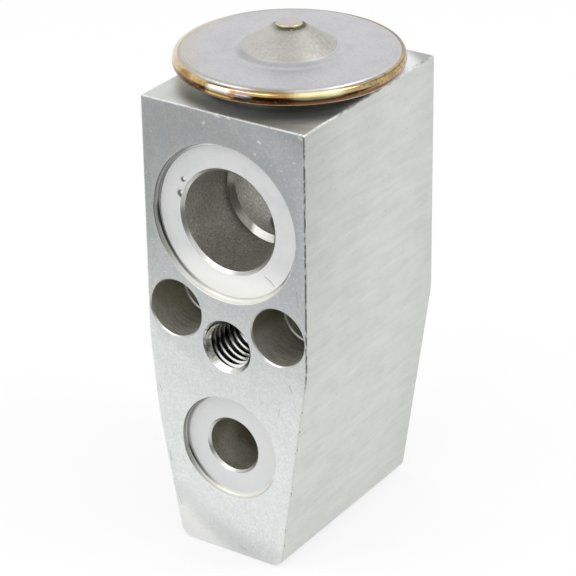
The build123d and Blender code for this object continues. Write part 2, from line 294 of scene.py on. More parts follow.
def extruded_aluminium():
    """Sides of the bar: faint die lines from front to back over a cloudy satin skin."""
    finish = metal("extruded_aluminium", (212, 214, 210), 0.42)
    across, depth, height = (along(finish, axis) for axis in "XYZ")
    die_lines = cloud(finish, 0.9, 3.0, stretch=(1, 0.12, 1))
    patches, grit = cloud(finish, 4.0, 6.0), cloud(finish, 0.3, 2.0)
    stain(band(patches, 0.42, 0.7), (207, 209, 205))
    stain(band(die_lines, 0.5, 0.75), (194, 196, 192), 0.4)
    stain(band(die_lines, 0.44, 0.28), (224, 226, 222), 0.4)
    stain(band(grit, 0.55, 0.75), (188, 190, 186), 0.35)
    stain(band(cloud(finish, 0.6, 2.0), 0.72, 0.76), (160, 162, 158), 0.4)
    # The top face: painted shade at its right, and painted shadow with a painted lit ring under the
    # head
    top = band(height, 71.7, 71.95)
    near_front = both(top, band(depth, -17.0, -14.8), band(across, -11.5, -7.5))
    near_right = both(near_front, band(across, 3.0, 7.0))
    reach = from_axis(finish)
    stain(both(top, band(across, 0.0, 10.0)), (173, 173, 167), 0.9)
    stain(both(near_front, band(reach, 21.0, 20.0)), (180, 182, 178))
    stain(both(near_right, between(reach, 16.6, 19.4, 0.8)), (238, 240, 238))
    stain(both(near_right, band(reach, 14.6, 12.8)), (118, 120, 104))
    # Light and dark flecks along its right edge
    top_edge = both(band(height, 71.6, 71.8), band(across, 13.5, 13.75))
    flecks = cloud(finish, 0.7, 2.0, stretch=(1, 0.5, 1))
    stain(both(top_edge, band(flecks, 0.5, 0.62)), (232, 234, 230), 0.6)
    stain(both(top_edge, band(flecks, 0.42, 0.32)), (132, 134, 130), 0.6)
    roughen(patches, 0.38, 0.5)
    emboss(die_lines, 0.005)
    return finish


def cut_aluminium():
    """Front and back of the block, where the bar was cut off: matt, mottled and finely pitted."""
    finish = metal("cut_aluminium", (217, 219, 218), 0.34)
    grain = cloud(finish, 0.4, 2.0, stretch=(1, 1, 0.12))
    patches, grit = cloud(finish, 3.0, 6.0), cloud(finish, 0.28, 2.0)
    specks = cloud(finish, 0.6, 1.0, centre=(3, 0, 0))
    height = along(finish, "Z")
    high_up = band(height, 30.0, 50.0)
    upper_right = both(band(along(finish, "X"), -2.0, 12.0), band(height, 30.0, 40.0))
    stain(band(patches, 0.42, 0.64), (210, 212, 211), 0.35)
    # Painted shade: darker, bluer patches high up
    stain(both(band(patches, 0.4, 0.65), high_up), (199, 206, 210), 0.5)
    stain(band(grain, 0.5, 0.8), (196, 199, 200), 0.3)
    # Painted shade over the upper right
    stain(upper_right, (190, 195, 197), 0.5)
    stain(band(grit, 0.5, 0.7), (190, 193, 191), 0.4)
    stain(band(grit, 0.45, 0.3), (234, 236, 234), 0.4)
    stain(both(band(specks, 0.72, 0.76), high_up), (252, 252, 252), 0.8)
    # A wiped patch low down at the left, and the smear beside it
    slope = slant(finish, (-4.1, front, 2.2), (0.54, 0, 0.84))
    stain(both(between(slope, -9.0, 0.2, 1.0), band(height, 9.0, 6.0)), (238, 238, 236), 0.7)
    stain(both(between(slope, 1.2, 4.2, 1.2), band(height, 10.0, 7.0)), (196, 198, 196), 0.4)
    # Dark scratches, and nicks near the top painted white as glints
    scratch(finish, front, (
        (10.9, 31.9, 11.4, 31.0, 0.12), (9.2, 27.6, 9.0, 26.3, 0.1), (6.1, 27.9, 6.0, 27.4, 0.1),
        (-12.5, 25.3, -12.1, 24.4, 0.12), (-11.0, 14.3, -10.8, 12.6, 0.12),
        (-9.5, 6.6, -9.1, 5.4, 0.1), (1.6, 1.5, 2.6, 1.2, 0.15), (12.4, 47.6, 12.6, 45.0, 0.09),
    ), (156, 158, 156), 0.5)
    scratch(finish, front, (
        (-3.1, 70.0, -2.9, 70.1, 0.3), (6.3, 69.3, 6.6, 69.2, 0.26), (5.6, 67.3, 5.8, 67.2, 0.2),
        (-1.2, 71.8, -0.3, 71.6, 0.28), (1.0, 71.75, 1.5, 71.7, 0.2),
        (13.1, 71.6, 13.5, 71.3, 0.25),
    ), (254, 254, 254))
    roughen(patches, 0.3, 0.4)
    emboss(grit, 0.006)
    return finish


def burred_edge_highlight():
    """Broken edges of the cut faces: painted bright as a highlight, with small nicks and painted
    white glints.
    """
    finish = metal("burred_edge_highlight", (232, 233, 232), 0.3, 0.8)
    nicks = cloud(finish, 0.6, 3.0)
    stain(band(nicks, 0.56, 0.66), (186, 188, 188), 0.6)
    # Painted white glints along the top edge
    for x, radius in ((-0.7, 0.5), (1.2, 0.3), (13.3, 0.35), (-5.2, 0.25)):
        glint_spot = spot(finish, (x, front, block_height), radius)
        stain(glint_spot, (255, 255, 252))
        emboss(glint_spot, 0.1)
    emboss(nicks, 0.015)
    return finish


def dark_edge():
    """The right-hand edge of the front: a painted line of shade, broken by lighter gaps, more of
    them low down.
    """
    finish = metal("dark_edge", (120, 122, 118), 0.5, 0.75)
    line_gaps = cloud(finish, 0.6, 3.0, stretch=(1, 1, 0.5))
    low_part = band(along(finish, "Z"), crease_z, crease_z - 3.0)
    stain(band(line_gaps, 0.5, 0.6), (196, 198, 196))
    stain(both(low_part, band(line_gaps, 0.36, 0.42)), (212, 214, 211))
    return finish


def turned_seat(name, centre_z, tone=238):
    """The flat of a sealing seat: fine rings that scatter the light."""
    finish = metal(name, (tone, tone, tone), 0.72, 0.75)
    stain(band(cloud(finish, 2.5, 4.0), 0.45, 0.8), (222, 224, 226), 0.6)
    stain(rings(finish, (0, 0, centre_z), 0.35, "Y"), (216, 218, 220), 0.14)
    return finish


def worn_and_lit_seat():
    """The suction seats: painted light low down, with two dents, each with painted shade and a
    painted highlight, and a bent scratch at the front.
    """
    finish = turned_seat("suction_seat", suction_z)
    y = front + seat_depth
    stain(band(along(finish, "Z"), suction_z - 5.0, suction_z - 9.0), (255, 255, 252))
    # Painted shade and a painted highlight on each dent
    for x, z, radius in ((-8.1, 57.52, 0.72), (-7.6, 59.86, 0.5)):
        stain(spot(finish, (x, y, z), radius), (120, 122, 120))
        lit_side = (x + radius * 0.4, y, z + radius * 0.3)
        stain(spot(finish, lit_side, radius * 0.55), (252, 252, 252))
    bent = (6.33, 47.87, 7.1, 47.5, 0.16), (7.1, 47.5, 7.87, 46.84, 0.16)
    scratch(finish, y, bent, (156, 158, 156), 0.4)
    return finish


def seat_wall(name, centre_z, radius, side):
    """Rounded step round a sealing seat: painted shade at the left and in its corner, painted light
    low down.
    """
    finish = metal(name, (214, 214, 210), 0.2)
    across = along(finish, "X")
    turns = cloud(finish, 0.16, 1.0, stretch=(0.05, 1, 0.05))
    low = band(along(finish, "Z"), centre_z - radius * 0.55, centre_z - radius * 0.8)
    corner_y = side * (block_half_depth - seat_depth + 0.13)
    corner = both(
        between(along(finish, "Y"), corner_y - 0.11, corner_y + 0.11, 0.06),
        band(across, -radius * 0.2, -radius * 0.6),
    )
    stain(band(across, -radius * 0.55, -radius * 0.85), (166, 165, 160), 0.8)
    stain(band(turns, 0.4, 0.7), (160, 158, 150), 0.4)
    stain(low, (240, 240, 234), 0.8)
    stain(corner, (96, 98, 102), 0.85)
    roughen(low, 0.14, 0.55)
    return finish


def port_mouth():
    """Chamfers at the mouths of the ports and holes."""
    finish = metal("port_mouth", (206, 206, 201), 0.15)
    turns = cloud(finish, 0.16, 1.0, stretch=(0.06, 1, 0.06))
    for darker in (band(turns, 0.4, 0.65), band(cloud(finish, 0.8, 3.0), 0.55, 0.8)):
        stain(darker, (160, 160, 154), 0.6)
    roughen(turns, 0.2, 0.44)
    return finish


def core_step():
    """The small cone between bore and core: painted white as a highlight, with painted shade at its
    left.
    """
    finish = metal("core_step", (255, 255, 250), 0.22, 0.9)
    turns = cloud(finish, 0.16, 1.0, stretch=(0.06, 1, 0.06))
    stain(band(along(finish, "X"), -3.2, -3.9), (146, 145, 137))
    stain(band(turns, 0.5, 0.7), (190, 190, 184), 0.3)
    return finish


def bored_wall():
    """Wall of the suction passage: dull, and speckled all over."""
    finish = metal("bored_wall", (206, 206, 199), 0.5)
    feed = cloud(finish, 0.4, 2.0, stretch=(0.15, 1, 0.15))
    grit = cloud(finish, 0.32, 2.0)
    stain(band(cloud(finish, 3.0, 5.0), 0.4, 0.7), (194, 193, 186))
    stain(band(grit, 0.5, 0.7), (158, 156, 146), 0.8)
    stain(band(grit, 0.42, 0.28), (240, 240, 234), 0.8)
    emboss(grit, 0.012)
    emboss(feed, 0.006)
    return finish


def inlet_shade(finish):
    """The inlet's wall: bright specks and a painted band of shade. Gives the strength of the ring
    marks.
    """
    shine = slant(finish, (0, 0, inlet_z), (0.45, 0, 0.9))
    stain(band(cloud(finish, 0.35, 2.0), 0.45, 0.3), (240, 234, 214), 0.3)
    stain(between(shine, 0.2, 4.2, 1.0), (120, 118, 96), 0.8)
    return 0.3


def bolt_shade(finish):
    """The bolt holes' walls: painted olive shade high up and in the right hole, and painted light
    low down.

    Gives the strength of the ring marks, which show best low down.
    """
    height = along(finish, "Z")
    low = band(height, bolt_z - bolt_r * 0.1, bolt_z - bolt_r * 0.9)
    right_hole = both(band(along(finish, "X"), -2.0, 2.0), band(height, bolt_z - 1.5, bolt_z))
    stain(band(height, bolt_z - bolt_r * 0.2, bolt_z + bolt_r * 0.7), (168, 168, 140))
    stain(low, (236, 236, 232), 0.35)
    stain(right_hole, (120, 118, 92), 0.6)
    return plus(low, 0.15)


def drilled_wall(name="drilled_wall", metallic=0.7, shade=None):
    """Walls of the drilled holes: dark, with ring marks, and shaded in their own way."""
    finish = metal(name, (212, 210, 199), 0.42, metallic)
    feed = cloud(finish, 0.24, 2.0, stretch=(0.08, 1, 0.08))
    stain(band(cloud(finish, 2.5, 4.0), 0.4, 0.7), (192, 190, 172))
    marks = band(feed, 0.45, 0.65)
    if shade:
        marks = both(marks, shade(finish))
    stain(marks, (146, 144, 128), 0.5)
    stain(band(cloud(finish, 0.35, 2.0), 0.5, 0.7), (156, 153, 138), 0.5)
    emboss(feed, 0.008)
    return finish


def tapped_thread():
    """The clamp hole's thread: painted shade on its flanks, darkest at the roots, with thin grey
    crests and painted light low down.
    """
    finish = metal("tapped_thread", (52, 51, 45), 0.16)
    reach = reach_from(finish, (0, 0, clamp_z), (1, 0, 1))
    ragged_height = plus(cloud(finish, 0.7, 3.0), along(finish, "Z"))
    stain(band(reach, thread_crest_r + 0.16, thread_crest_r + 0.08), (140, 140, 134), 0.5)
    stain(band(ragged_height, clamp_z - 0.7, clamp_z - 1.5), (240, 240, 238))
    stain(band(reach, thread_root_r - 0.25, thread_root_r - 0.05), (30, 29, 25))
    return finish


def thread_mouth():
    """The cone at the mouth of the thread, torn and mottled by the tap, with painted light low
    down.
    """
    finish = metal("thread_mouth", (176, 176, 171), 0.3)
    torn = cloud(finish, 0.5, 4.0)
    stain(band(torn, 0.45, 0.6), (128, 127, 120))
    stain(band(torn, 0.4, 0.3), (222, 222, 218))
    stain(band(along(finish, "Z"), clamp_z - 2.6, clamp_z - 3.6), (214, 214, 208))
    emboss(torn, 0.05)
    return finish


def head_steel():
    """Pressed stainless cover: satin, faintly clouded and ringed, with a straw tint at the left,
    and painted shade round the cone's foot and along the rim at the front.
    """
    finish = metal("head_steel", (201, 201, 204), 0.36)
    patches, grit = cloud(finish, 3.5, 5.0), cloud(finish, 0.45, 2.0)
    turn, reach = bearing(finish), from_axis(finish)
    breaks = band(cloud(finish, 5.0, 2.0), 0.4, 0.6)
    left_rim = both(between(turn, -100, -30, 20), band(reach, 12.5, 15.7))
    stain(band(patches, 0.42, 0.72), (191, 191, 194), 0.7)
    stain(band(grit, 0.45, 0.65), (178, 178, 180), 0.35)
    stain(left_rim, (202, 192, 160), 0.45)
    # Rings left by the press: broken ones on the pan and a whole one round the cone's foot
    for radius, strength in (
        (14.9, 0.5), (15.45, 0.9), (15.7, 0.5), (11.0, 0.15), (9.2, 0.2), (cone_foot_r, 0.6),
    ):
        ring = between(reach, radius, radius, 0.11)
        if radius > cone_foot_r:
            ring = both(ring, breaks)
        stain(ring, (140, 136, 128), strength)
    # Painted shade: over the front of the rim, round the front of the cone's foot, and on two
    # stretches of the rim's edge
    near_rim = both(between(turn, -30, 40, 12), between(reach, 15.35, 15.8, 0.1))
    foot = both(between(reach, 6.8, 7.9, 0.25), between(turn, -50, 75, 20))
    rim = band(reach, 15.75, 15.85)
    stain(near_rim, (172, 164, 144), 0.7)
    stain(foot, (160, 160, 160), 0.6)
    stain(both(between(turn, 13, 33, 4), rim), (156, 146, 128))
    stain(both(band(turn, -14, -28), rim), (188, 178, 160))
    stain(band(grit, 0.66, 0.74), (164, 162, 160), 0.4)
    roughen(plus(patches, foot), 0.3, 0.44)
    emboss(grit, 0.004)
    return finish


def drawn_steel():
    """The cone: duller and warmer than the pan, speckled, with painted shade at its front right and
    round the plug, and painted light at its front left.
    """
    finish = metal("drawn_steel", (188, 186, 180), 0.55)
    grit, height, turn = cloud(finish, 0.4, 3.0), along(finish, "Z"), bearing(finish)
    stain(band(cloud(finish, 1.6, 4.0), 0.42, 0.7), (178, 176, 169))
    stain(between(turn, -10, 60, 20), (168, 165, 158), 0.6)
    stain(band(height, 79.3, 79.8), (122, 118, 104), 0.7)
    stain(band(height, 79.6, 79.75), (80, 72, 52), 0.8)
    stain(band(grit, 0.5, 0.66), (150, 148, 140), 0.3)
    stain(band(grit, 0.42, 0.3), (214, 213, 207), 0.3)
    stain(between(turn, -80, -20, 20), (206, 205, 199), 0.5)
    emboss(grit, 0.008)
    return finish


def stain_weld_end(turn, height, patches, grit):
    """The weld's right-hand end: dull gold, speckled, with a dark upper line."""
    end = band(turn, 62, 76)
    stain(both(band(turn, 68, 80), band(height, 74.6, 74.9)), (170, 148, 108))
    stain(both(end, band(patches, 0.4, 0.6)), (192, 166, 118))
    stain(both(end, band(grit, 0.54, 0.64)), (128, 94, 52), 0.8)
    stain(both(end, between(height, 75.7, 75.8, 0.05)), (104, 88, 60), 0.8)
    stain(both(end, band(height, 74.9, 74.7)), (120, 84, 60))


def stain_weld_start(turn, height):
    """The weld's start, painted white as a highlight, with a pale lens right of it, a painted
    highlight on a purple tint. Gives the painted highlight's mask.
    """
    start = between(turn, -8, 6, 2.0)
    white_glint = both(start, between(height, 75.02, 75.76, 0.08))
    pale_lens = both(between(turn, 8.5, 17, 1.0), between(height, 75.0, 75.35, 0.08))
    under_lens = both(between(turn, 9, 18, 1.0), between(height, 74.45, 74.9, 0.08))
    stain(both(start, between(height, 74.45, 75.0, 0.1)), (220, 186, 112))
    stain(both(start, band(height, 75.76, 75.82)), (128, 104, 70))
    # Painted white highlight, and below it a painted highlight on a purple tint
    stain(white_glint, (255, 252, 240))
    stain(both(between(turn, 5.5, 8, 1.5), band(height, 74.7, 74.9)), (222, 150, 112))
    stain(pale_lens, (238, 226, 244))
    stain(under_lens, (70, 66, 38))
    return white_glint


def weld_bead_finish():
    """Laser weld: gold above, brown below, cream left and dull right, with painted highlights,
    white at its start and pale gold at its right front.
    """
    finish = metal("heat_tint_and_glint_weld", (206, 182, 128), 0.12)
    patches = cloud(finish, 2.0, 2.0, stretch=(1, 1, 0.4))
    grit, height = cloud(finish, 0.45, 3.0), along(finish, "Z")
    turn = plus(bearing(finish), both(grit, 3.0))
    gold_glint, middle = between(turn, 38, 62, 4), between(turn, 13, 35, 3)
    low_half = band(plus(both(gold_glint, 0.25), height), 75.3, 75.0)
    left_end = band(turn, -32, -50)
    stain(band(patches, 0.45, 0.6), (166, 130, 72))
    stain(between(turn, 8, 16, 3), (206, 176, 172), 0.8)
    # Painted highlight, pale gold, on the gold tint
    stain(gold_glint, (252, 238, 186))
    stain(left_end, (222, 212, 194))
    stain(band(turn, 62, 76), (184, 164, 122))
    stain(middle, (182, 150, 100), 0.6)
    stain(both(middle, band(height, 75.4, 75.25)), (96, 56, 26))
    stain(low_half, (78, 42, 18))
    stain(both(low_half, between(turn, 36, 64, 4)), (128, 84, 62))
    stain(both(low_half, band(grit, 0.52, 0.62)), (116, 82, 58))
    stain(both(left_end, band(height, 75.2, 74.9)), (176, 132, 84), 0.7)
    stain_weld_end(turn, height, patches, grit)
    white_glint = stain_weld_start(turn, height)
    # The dull underside, and the side away from the camera
    far_side = node(finish, "Math", {0: bearing(finish)}, operation="ABSOLUTE").outputs[0]
    stain(band(height, 74.32, 74.2), (168, 150, 124))
    stain(band(far_side, 112, 125), (148, 140, 124), 0.8)
    broad_glint = combined("MAXIMUM", white_glint, between(turn, 36, 62, 4))
    roughen(plus(both(patches, 0.4), broad_glint), 0.08, 0.3)
    emboss(patches, 0.05)
    emboss(grit, 0.01)
    return finish


def plug_steel():
    """The welded filling plug: bright flat top with a golden rim, and painted shade round its foot.
    """
    finish = metal("plug_steel", (195, 190, 185), 0.3)
    patches, height = cloud(finish, 0.8, 3.0), along(finish, "Z")
    stain(band(patches, 0.45, 0.7), (190, 182, 178), 0.5)
    stain(band(height, 80.22, 80.16), (214, 204, 156))
    # Painted shade round the plug's foot
    stain(band(height, 80.0, 79.92), (96, 84, 58))
    emboss(patches, 0.008)
    return finish


def turned_metal(name, colour, roughness):
    """Turned steel, aluminium or brass, with fine rings round the upright axis."""
    finish = metal(name, colour, roughness)
    marks, darker = rings(finish, (0, 0, 0), 0.3, "Z"), dimmed(colour, 0.7)
    stain(marks, darker, 0.3)
    stain(band(cloud(finish, 2.0, 3.0), 0.5, 0.8), darker, 0.5)
    emboss(marks, 0.004)
    return finish


def seal_rubber():
    """Matt dark rubber with a faint bloom."""
    finish = metal("seal_rubber", (34, 38, 36), 0.62, 0.0)
    bloom = cloud(finish, 0.6, 3.0)
    stain(band(bloom, 0.45, 0.8), (62, 66, 64), 0.5)
    emboss(bloom, 0.01)
    return finish


side_skin = extruded_aluminium()
cut_skin = cut_aluminium()
edge_skin = burred_edge_highlight()
dark_line = dark_edge()
suction_seat = worn_and_lit_seat()
inlet_seat = turned_seat("inlet_seat", inlet_z, 229)
outlet_seat = turned_seat("outlet_seat", outlet_z)
suction_step = seat_wall("suction_step", suction_z, suction_seat_r, -1)
inlet_step = seat_wall("inlet_step", inlet_z, liquid_seat_r, -1)
outlet_step = seat_wall("outlet_step", outlet_z, liquid_seat_r, 1)
mouth = port_mouth()
step_metal = core_step()
passage_wall = bored_wall()
hole_wall = drilled_wall()
port_wall = drilled_wall("port_wall", 0.85, inlet_shade)
bolt_wall = drilled_wall("bolt_wall", 0.7, bolt_shade)
# The seal pocket's wall is painted pale, as light in its shade
pocket_wall = metal("pocket_wall", (236, 236, 230), 0.6, 0.2)
thread_metal = tapped_thread()
torn_mouth = thread_mouth()
cover_metal = head_steel()
cone_metal = drawn_steel()
bead_metal = weld_bead_finish()
plug_metal = plug_steel()
neck_metal = turned_metal("neck_steel", (178, 176, 172), 0.3)
rod_metal = turned_metal("rod_aluminium", (214, 214, 214), 0.28)
brass = turned_metal("turned_brass", (214, 178, 104), 0.26)
spring_metal = turned_metal("spring_steel", (168, 168, 170), 0.25)
ball_metal = turned_metal("ball_steel", (206, 206, 210), 0.12)
foil_metal = turned_metal("diaphragm_steel", (190, 190, 190), 0.25)
rubber = seal_rubber()


# Modelling helpers. A piece is modelled with one unit to a millimetre, and seat_in_body makes
# it metres.


def pick(piece, kind, test):
    """Select the vertices or faces of the piece in edit mode that pass the test."""
    bpy.ops.mesh.select_mode(type={"verts": "VERT", "faces": "FACE"}[kind])
    bpy.ops.mesh.select_all(action="DESELECT")
    shape = bmesh.from_edit_mesh(piece.data)
    for part in getattr(shape, kind):
        part.select_set(test(part))
    shape.select_flush_mode()
    bmesh.update_edit_mesh(piece.data)


def leave_edit(piece, name):
    """Leave edit mode and name the piece."""
    bpy.ops.object.mode_set(mode="OBJECT")
    piece.name = piece.data.name = name


def pick_only(piece):
    """Select just this piece and make it the active one."""
    bpy.ops.object.select_all(action="DESELECT")
    piece.select_set(True)
    bpy.context.view_layer.objects.active = piece


def apply_modifier(piece, modifier):
    bpy.context.view_layer.objects.active = piece
    bpy.ops.object.modifier_apply(modifier=modifier.name)


def draw_line(points):
    """A line in edit mode, extruded from point to point after a plane merged at its centre."""
    bpy.ops.mesh.primitive_plane_add(size=1)
    bpy.ops.object.mode_set(mode="EDIT")
    bpy.ops.mesh.select_mode(type="VERT")
    bpy.ops.mesh.select_all(action="SELECT")
    bpy.ops.mesh.merge(type="CENTER")
    bpy.ops.transform.translate(value=points[0])
    for here, there in zip(points, points[1:]):
        bpy.ops.mesh.extrude_region_move(TRANSFORM_OT_translate={"value": there - here})
    return bpy.context.object


def join_doubles():
    """Merge the points in edit mode that lie on each other."""
    bpy.ops.mesh.select_all(action="SELECT")
    bpy.ops.mesh.remove_doubles(threshold=WELD_DISTANCE)


def face_outwards():
    """Turn every face in edit mode outwards."""
    bpy.ops.mesh.select_all(action="SELECT")
    bpy.ops.mesh.normals_make_consistent(inside=False)


def round_corners(piece, points, corners, segments):
    """Cut back and round the line's corners that have a third number."""
    for point, corner in zip(points, corners):
        if len(corner) > 2:
            pick(piece, "verts", lambda vert: (vert.co - point).length < WELD_DISTANCE)
            bpy.ops.mesh.bevel(
                offset=corner[2], segments=segments, profile=0.5, affect="VERTICES"
            )


def slice_off(height, inner, outer):
    """Cut a shape in edit mode level at a height, and drop what is below or above it."""
    bpy.ops.mesh.bisect(
        plane_co=(0, 0, height), plane_no=UP, use_fill=True, clear_inner=inner, clear_outer=outer
    )


def wind_up(piece, angle, rise, steps, repeats=1):
    """Sweep a line up round the Z axis into a helix, merged where one repeat meets the next."""
    wind = piece.modifiers.new("wind", "SCREW")
    wind.angle, wind.screw_offset, wind.iterations = angle, rise, repeats
    wind.steps = wind.render_steps = steps
    wind.use_merge_vertices = repeats > 1
    wind.merge_threshold = WELD_DISTANCE
    apply_modifier(piece, wind)
    bpy.ops.object.mode_set(mode="EDIT")


def turned(name, outline, finishes, base=(0, 0, 0), axis=UP, steps=96):
    """A piece turned about an axis from its outline of (radius, length) in millimetres.

    A third number cuts the corner back by that length and rounds it. The finishes are one for
    the whole piece, or pairs of a length along the axis and the finish that reaches to it.
    """
    points = [Vector((corner[0], 0, corner[1])) for corner in outline]
    piece = draw_line(points)
    round_corners(piece, points, outline, 5)
    join_doubles()
    bpy.ops.mesh.spin(steps=steps, angle=FULL_TURN, center=(0, 0, 0), axis=UP)
    join_doubles()
    face_outwards()
    leave_edit(piece, name)
    if isinstance(finishes, bpy.types.Material):
        finishes = [(TO_END, finishes)]
    for _, finish in finishes:
        piece.data.materials.append(finish)
    for face in piece.data.polygons:
        reach = face.center.z
        face.material_index = next(
            index for index, (limit, _) in enumerate(finishes) if reach < limit
        )
    settle(piece, base, axis)
    return piece


def settle(piece, base=(0, 0, 0), axis=UP):
    """Turn a piece made along +Z to its axis, move it to its base and apply both."""
    pick_only(piece)
    piece.location = base
    if axis == TO_BACK:
        piece.rotation_euler = (-math.pi / 2, 0, 0)
    elif axis == TO_FRONT:
        piece.rotation_euler = (math.pi / 2, 0, 0)
    bpy.ops.object.transform_apply(location=True, rotation=True, scale=True)


def cut(piece, tool):
    """Cut a tool's shape out of a piece. The cut walls keep the tool's finishes."""
    carve = piece.modifiers.new(tool.name, "BOOLEAN")
    carve.operation = "DIFFERENCE"
    carve.solver = "MANIFOLD"
    carve.material_mode = "TRANSFER"
    carve.object = tool
    apply_modifier(piece, carve)
    bpy.data.objects.remove(tool)


def seat_in_body(piece, body, slot, *nodes):
    """Finish a piece's size and shading, join it to its CAD body, and hide its CAD nodes. The slot
    is not used.

    A piece between two bodies has None for its body, and is left unattached here.
    """
    piece.scale = (MM, MM, MM)
    settle(piece)
    bpy.ops.object.shade_smooth_by_angle(angle=SMOOTH_ANGLE)
    piece.select_set(False)
    if body:
        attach(piece, body)
    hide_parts(*nodes)


# Block


def block_blank():
    """The extruded bar cut to length: tapered below the crease, edges rounded or broken."""
    base_round, crease_round, top_round, broken = 1.727, 1.1, 0.4, 0.2
    corners = [
        (base_half_width, 0, base_round),
        (block_half_width, crease_z, crease_round),
        (block_half_width, block_height, top_round),
        (-block_half_width, block_height, top_round),
        (-block_half_width, crease_z, crease_round),
        (-12.8, 20.5, 4.0),
        (-base_half_width, 0, base_round),
    ]
    points = [Vector((x, front + broken, z)) for x, z, _ in corners]
    piece = draw_line([*points, points[0]])
    join_doubles()
    round_corners(piece, points, corners, 8)
    bpy.ops.mesh.select_all(action="SELECT")
    bpy.ops.mesh.edge_face_add()
    bpy.ops.mesh.extrude_region_move(
        TRANSFORM_OT_translate={"value": (0, back - front - 2 * broken, 0)}
    )
    face_outwards()
    for side in (-1, 1):
        pick(piece, "faces", lambda face: face.normal.y * side > 0.99)
        bpy.ops.mesh.inset(thickness=broken * 0.293, depth=broken * 0.707)
        bpy.ops.mesh.inset(thickness=broken * 0.707, depth=broken * 0.293)
    leave_edit(piece, "valve_block")
    for finish in (side_skin, cut_skin, edge_skin, dark_line):
        piece.data.materials.append(finish)
    for face in piece.data.polygons:
        middle, facing = face.center, abs(face.normal.y)
        on_right = middle.x > base_half_width - 2 and middle.y < 0
        if facing > 0.99:
            face.material_index = 1
        elif facing > 0.1:
            # The right-hand edge of the front takes the painted line of shade
            torn = on_right and 1 < middle.z < block_height - 0.5
            face.material_index = 3 if torn else 2
    return piece


def port_cutter(name, base, axis, finishes, seat_r, bore_r, bevel, bore_depth, core):
    """Recessed seat with a rounded corner, chamfered bore, and core of (step, radius, depth)."""
    step_wall, seat, wall = finishes
    step, core_r, core_depth = core
    return turned(name, [
        (0, -CUT_OVER),
        (seat_r + 0.56, -CUT_OVER),
        (seat_r, 0.06),
        (seat_r, seat_depth, 0.6),
        (bore_r + bevel, seat_depth),
        (bore_r, seat_depth + bevel),
        (bore_r, bore_depth),
        (core_r, bore_depth + step),
        (core_r, core_depth),
        (0, core_depth),
    ], [
        (seat_depth - 0.01, step_wall), (seat_depth + 0.01, seat), (seat_depth + bevel, mouth),
        (bore_depth, wall), (bore_depth + step, step_metal), (TO_END, wall),
    ], base, axis)


def bolt_cutter(side):
    """A through hole with a wider, deep seat for the bolt's head at the front."""
    shank_r, flare, head_depth = 4.25, 0.7, 8.3
    step_end, far_end = head_depth + 0.15, back - front
    return turned("bolt_hole", [
        (0, -CUT_OVER),
        (bolt_r + flare, -CUT_OVER),
        (bolt_r, 0.2),
        (bolt_r, head_depth),
        (shank_r, step_end),
        (shank_r, far_end - 0.2),
        (shank_r + flare, far_end + CUT_OVER),
        (0, far_end + CUT_OVER),
    ], [
        (0.2, mouth), (head_depth, bolt_wall), (step_end, mouth), (far_end - 0.2, bolt_wall),
        (TO_END, mouth),
    ], (side * bolt_x, front, bolt_z), TO_BACK)


def tap_cutter():
    """The shape that a tap leaves: a right-hand thread, 8 mm across with a 1.25 mm pitch."""
    pitch, rise, flat, root = 1.25, 0.39, 0.29, 0.18
    points = [
        (thread_crest_r, 0), (thread_crest_r, flat), (thread_root_r, flat + rise),
        (thread_root_r, flat + rise + root), (thread_crest_r, pitch),
    ]
    piece = draw_line([Vector((r, 0, z - 2 * pitch)) for r, z in points])
    leave_edit(piece, "tap")
    wind_up(piece, FULL_TURN, pitch, 64, 12)
    for height, inner, outer in ((-0.4, True, False), (9.2, False, True)):
        join_doubles()
        slice_off(height, inner, outer)
    face_outwards()
    leave_edit(piece, "tap")
    piece.data.materials.append(thread_metal)
    settle(piece, (0, front, clamp_z), TO_BACK)
    return piece


def clamp_drill_cutter():
    """The drilled hole under the thread, with the drill's point and a chamfered mouth."""
    drill_r = 3.38
    return turned("clamp_drill", [
        (0, -CUT_OVER),
        (thread_root_r + 0.75, -CUT_OVER),
        (thread_root_r, 0.25),
        (drill_r, 0.87),
        (drill_r, 11.5),
        (0, 13.53),
    ], [(0.9, torn_mouth), (TO_END, thread_metal)], (0, front, clamp_z), TO_BACK)


def axis_cutters():
    """The bores on the upright axis, from the top and from the base."""
    return [
        turned("head_bore", [
            (0, 64.6), (8.72, 64.6), (8.72, 69.8), (10.92, 72.0), (11.12, 72.2), (0, 72.2),
        ], hole_wall),
        turned("gas_bore", [
            (0, suction_z), (5.0, suction_z), (5.0, 65), (0, 65),
        ], hole_wall),
        turned("seal_pocket", [
            (0, 40.5), (2.05, 40.5), (2.05, 43.6), (3.2, 43.6), (3.2, 48.8), (0, 48.8),
        ], pocket_wall),
        turned("rod_bore", [
            (0, 24.0), (1.75, 24.0), (1.75, 25.7), (2.5, 25.7), (2.5, outlet_z),
            (1.25, outlet_z), (1.25, 41), (0, 41),
        ], hole_wall),
        turned("chamber", [
            (0, -CUT_OVER), (6.75, -CUT_OVER), (5.75, 0.5), (5.75, 8.8), (5.2, 8.8), (5.2, 23.0),
            (2.75, 23.0), (1.75, 24.0), (1.75, 24.5), (0, 24.5),
        ], [(0.5, mouth), (TO_END, hole_wall)]),
    ]


